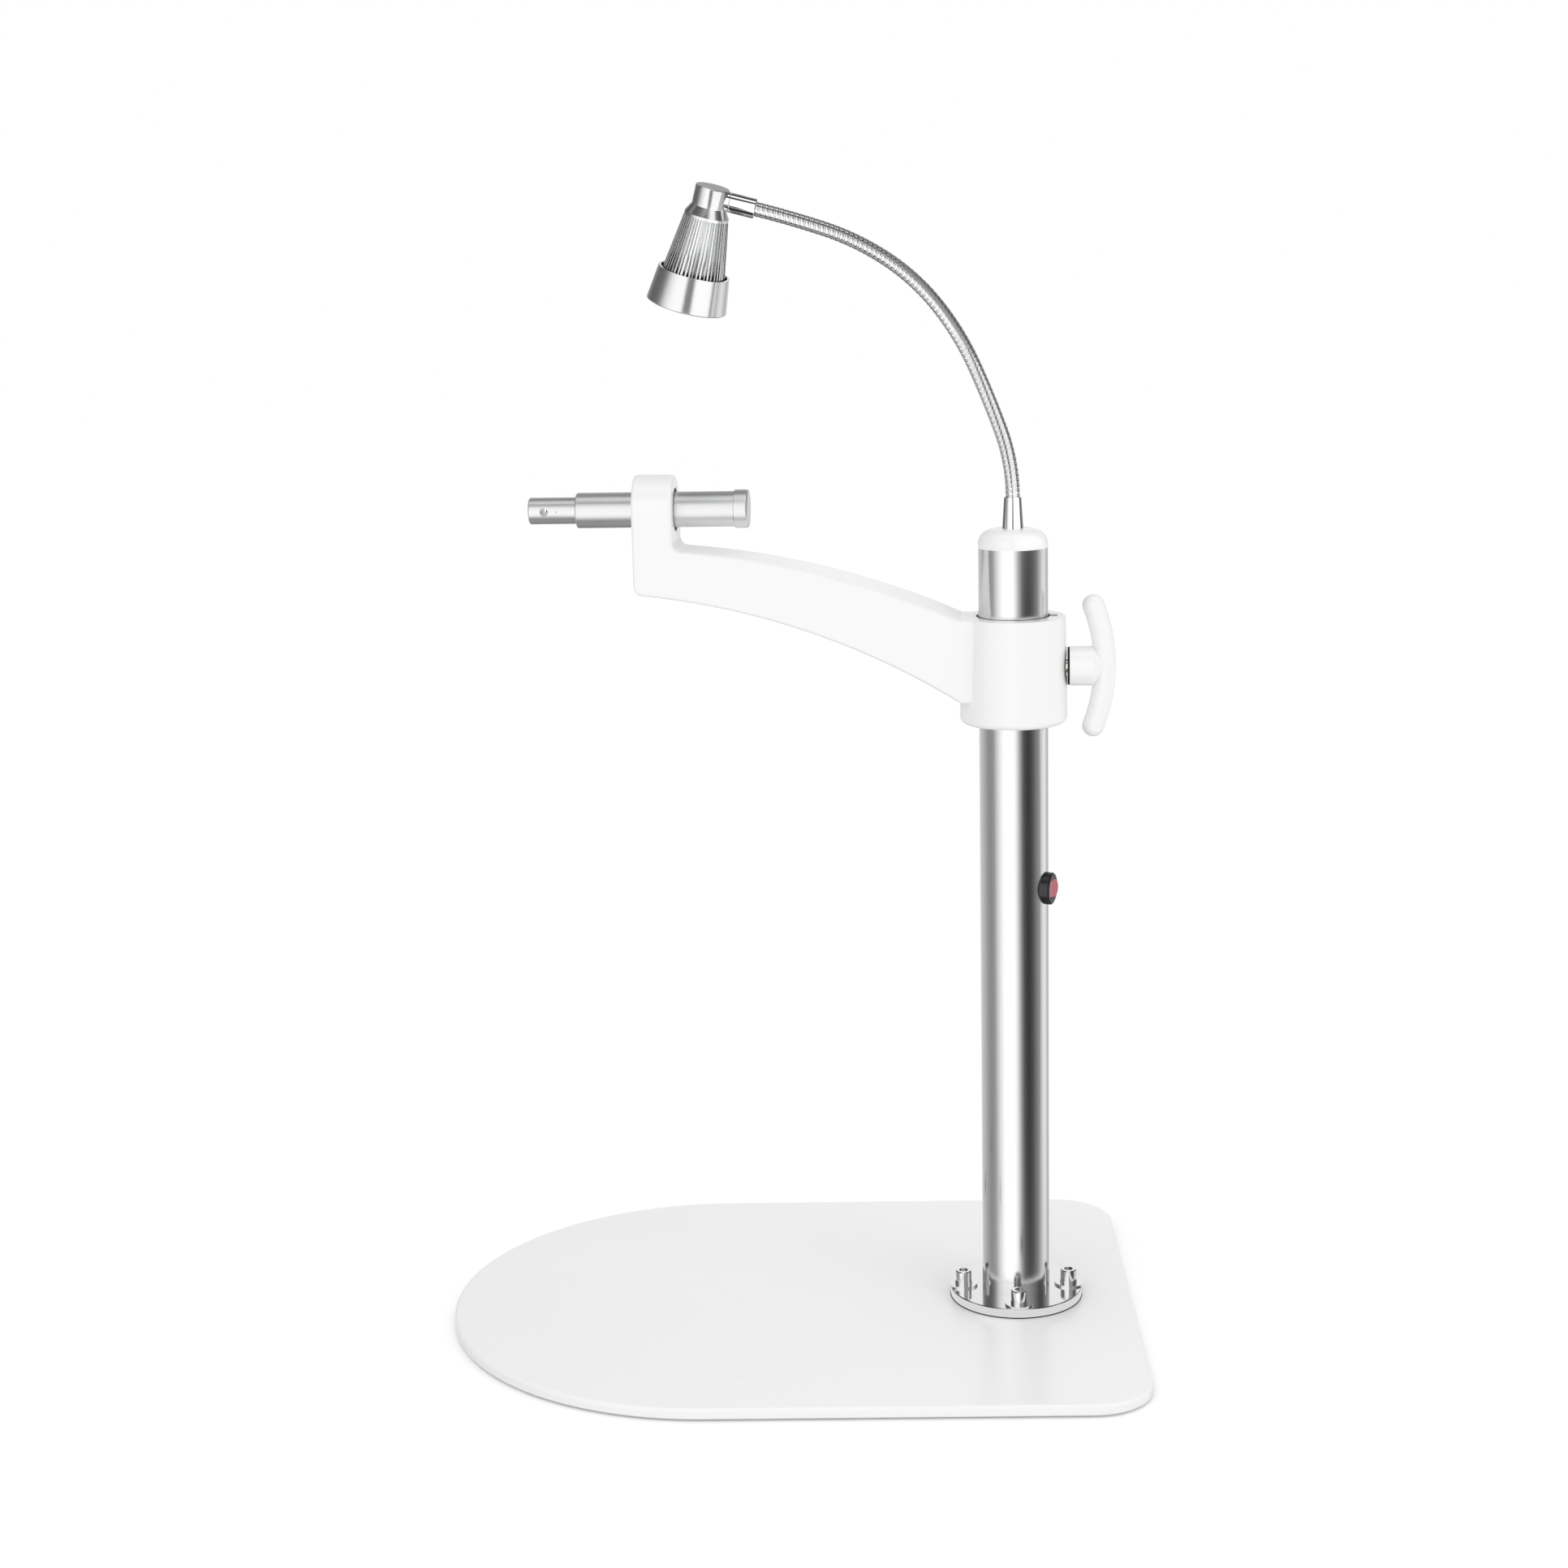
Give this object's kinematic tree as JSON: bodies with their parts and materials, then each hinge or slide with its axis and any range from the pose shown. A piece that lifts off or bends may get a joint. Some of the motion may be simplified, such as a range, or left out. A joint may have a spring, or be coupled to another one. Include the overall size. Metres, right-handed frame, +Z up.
{
  "type": "examination lamp stand",
  "caption": "Table stand: D-shaped plate, round column, clamped swivel arm with a stepped instrument shaft, and a finned LED spot lamp on a gooseneck.",
  "frame": {"origin": "middle of the base plate's outline, on the table under its pads", "axes": "+Z up, +X towards the plate's straight edge and the column, the arm and lamp reach towards -X, -Y is the front"},
  "size_m": [0.508, 0.394, 0.83],
  "materials": {
    "white_enamel_steel": "glossy white enamel",
    "white_enamel_alloy": "glossy white enamel over cast aluminium",
    "polished_stainless": "polished, with fine lengthwise grain",
    "bright_steel": "mirror polished",
    "chrome_plate": "bright chrome",
    "hose_chrome": "chromed wound strip",
    "satin_aluminium": "satin turned",
    "satin_nickel": "brushed satin nickel over aluminium",
    "black_plastic": "black moulded",
    "red_plastic": "translucent red",
    "black_nylon": "black nylon",
    "grey_rubber": "non-slip",
    "blackened_steel": "blackened",
    "brass": "machined",
    "board": "white solder mask",
    "phosphor": "phosphor dome",
    "bright_reflector": "bright anodised",
    "clear_lens": "clear"
  },
  "bodies": {
    "stand": {"base_plate": "white_enamel_steel", "base_pads": "grey_rubber", "column_flange": "bright_steel", "flange_screws": "bright_steel", "flange_flat_washers": "bright_steel", "flange_spring_washers": "bright_steel", "column_tube": "polished_stainless", "column_cap": "white_enamel_alloy", "led_driver": "black_plastic", "switch_body": "black_plastic", "switch_terminals": "brass", "power_jack": "black_plastic", "power_jack_pin": "brass", "power_jack_nut": "chrome_plate", "neck_ferrule_lower": "chrome_plate", "neck_nut": "chrome_plate"},
    "rocker": {"switch_rocker": "red_plastic"},
    "arm_slider": {"arm_bush_lower": "black_nylon", "arm_bush_upper": "black_nylon"},
    "arm": {"arm_casting": "white_enamel_alloy", "thread_insert": "brass", "shaft_bush_left": "black_nylon", "shaft_bush_right": "black_nylon", "brake_pad": "black_nylon", "brake_screw": "bright_steel"},
    "shoe": {"clamp_shoe": "black_nylon"},
    "handle": {"clamp_handle": "white_enamel_alloy", "clamp_stud": "bright_steel", "handle_washer": "black_nylon"},
    "shaft": {"instrument_shaft": "satin_aluminium", "knob_snap_ring": "bright_steel"},
    "rod": {"draw_rod": "blackened_steel"},
    "knob": {"shaft_knob": "satin_aluminium"},
    "neck_1": {"neck_link_1": "hose_chrome"},
    "neck_2": {"neck_link_2": "hose_chrome"},
    "neck_3": {"neck_link_3": "hose_chrome"},
    "neck_4": {"neck_link_4": "hose_chrome"},
    "neck_5": {"neck_link_5": "hose_chrome"},
    "neck_6": {"neck_link_6": "hose_chrome", "neck_ferrule_upper": "chrome_plate"},
    "head": {"head_cap": "satin_nickel", "swivel_stem": "chrome_plate", "heat_sink": "satin_nickel", "head_bezel": "satin_nickel", "led_board": "board", "led_chip": "phosphor", "reflector": "bright_reflector", "lens_gasket": "grey_rubber", "lens": "clear_lens"}
  },
  "joints": [
    {"name": "rocker_tilt", "type": "hinge", "parent": "stand", "child": "rocker", "pos_m": [0.19021, -0.0086, 0.325], "axis": [0, 0, 1], "range_deg": [0, 14]},
    {"name": "arm_lift", "type": "slide", "parent": "stand", "child": "arm_slider", "axis": [0, 0, 1], "range_m": [-0.1, 0.044]},
    {"name": "arm_swivel", "type": "hinge", "parent": "arm_slider", "child": "arm", "pos_m": [0.1678, 0, 0.485], "axis": [0, 0, 1], "continuous": true},
    {"name": "shoe_slide", "type": "slide", "parent": "arm", "child": "shoe", "axis": [0.9976, -0.0698, 0], "range_m": [0, 0.00225]},
    {"name": "handle_turn", "type": "hinge", "parent": "shoe", "child": "handle", "pos_m": [0.20772, -0.00279, 0.487], "axis": [0.9976, -0.0698, 0], "range_deg": [0, 540]},
    {"name": "shaft_turn", "type": "hinge", "parent": "arm", "child": "shaft", "pos_m": [-0.08648, 0.01778, 0.602], "axis": [0.9976, -0.0698, 0], "range_deg": [-90, 90]},
    {"name": "knob_turn", "type": "hinge", "parent": "shaft", "child": "knob", "pos_m": [-0.02912, 0.01377, 0.602], "axis": [0.9976, -0.0698, 0], "range_deg": [-1080, 360]},
    {"name": "rod_slide", "type": "slide", "parent": "shaft", "child": "rod", "axis": [0.9976, -0.0698, 0], "range_m": [-0.001, 0.003]},
    {"name": "neck_swivel", "type": "hinge", "parent": "stand", "child": "neck_1", "pos_m": [0.1678, 0, 0.608], "axis": [0, 0, 1], "range_deg": [-90, 90]},
    {"name": "neck_bend_1", "type": "hinge", "parent": "neck_1", "child": "neck_2", "pos_m": [0.15942, 0, 0.65552], "axis": [0, -1, 0], "range_deg": [-10, 10]},
    {"name": "neck_bend_2", "type": "hinge", "parent": "neck_2", "child": "neck_3", "pos_m": [0.14126, 0, 0.70048], "axis": [0, -1, 0], "range_deg": [-10, 10]},
    {"name": "neck_bend_3", "type": "hinge", "parent": "neck_3", "child": "neck_4", "pos_m": [0.11634, 0, 0.74195], "axis": [0, -1, 0], "range_deg": [-10, 10]},
    {"name": "neck_bend_4", "type": "hinge", "parent": "neck_4", "child": "neck_5", "pos_m": [0.08101, 0, 0.77489], "axis": [0, -1, 0], "range_deg": [-10, 10]},
    {"name": "neck_bend_5", "type": "hinge", "parent": "neck_5", "child": "neck_6", "pos_m": [0.03773, 0, 0.79647], "axis": [0, -1, 0], "range_deg": [-10, 10]},
    {"name": "head_swivel", "type": "hinge", "parent": "neck_6", "child": "head", "pos_m": [-0.04008, 0, 0.81907], "axis": [-0.9659, 0, 0.2588], "range_deg": [-60, 60]}
  ],
  "couplings": [
    {"joint": "shoe_slide", "follows": "handle_turn", "m_per_rad": 0.00023873},
    {"joint": "knob_turn", "follows": "rod_slide", "rad_per_m": -6283.2}
  ]
}
